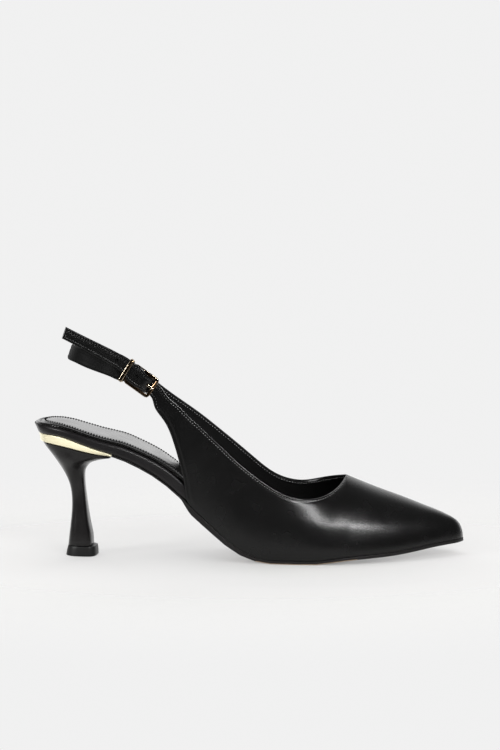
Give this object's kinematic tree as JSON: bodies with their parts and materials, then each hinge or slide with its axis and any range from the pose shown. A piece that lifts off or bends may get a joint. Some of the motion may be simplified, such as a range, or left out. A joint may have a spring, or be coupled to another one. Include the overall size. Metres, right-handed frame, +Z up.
{
  "type": "slingback pump",
  "caption": "Right slingback pump with a pointed closed toe, open back, flared mid heel and a buckled ankle strap with a long holed end.",
  "frame": {"origin": "middle of the heel's tip, on the floor", "axes": "+X to the toe, +Y to the inner side of the foot, +Z up"},
  "size_m": [0.2478, 0.0712, 0.1351],
  "materials": {
    "upper_leather": "smooth black leather with a soft sheen",
    "band_leather": "matt black leather wrapped round the board",
    "sock_lining": "smooth black padded lining with a stitched edge",
    "heel_cover": "satin black",
    "sole_rubber": "matt black edge, tan tread",
    "lift_rubber": "matt black",
    "pale_gold": "polished pale gold plate",
    "buckle_gold": "polished warm gold"
  },
  "bodies": {
    "root": {"outsole": "sole_rubber", "insole_board": "band_leather", "sock": "sock_lining", "heel": "heel_cover", "heel_plate": "pale_gold", "top_piece": "lift_rubber", "upper": "upper_leather", "back_strap": "upper_leather", "buckle_frame": "buckle_gold", "prong": "buckle_gold", "keeper": "buckle_gold"}
  },
  "joints": []
}
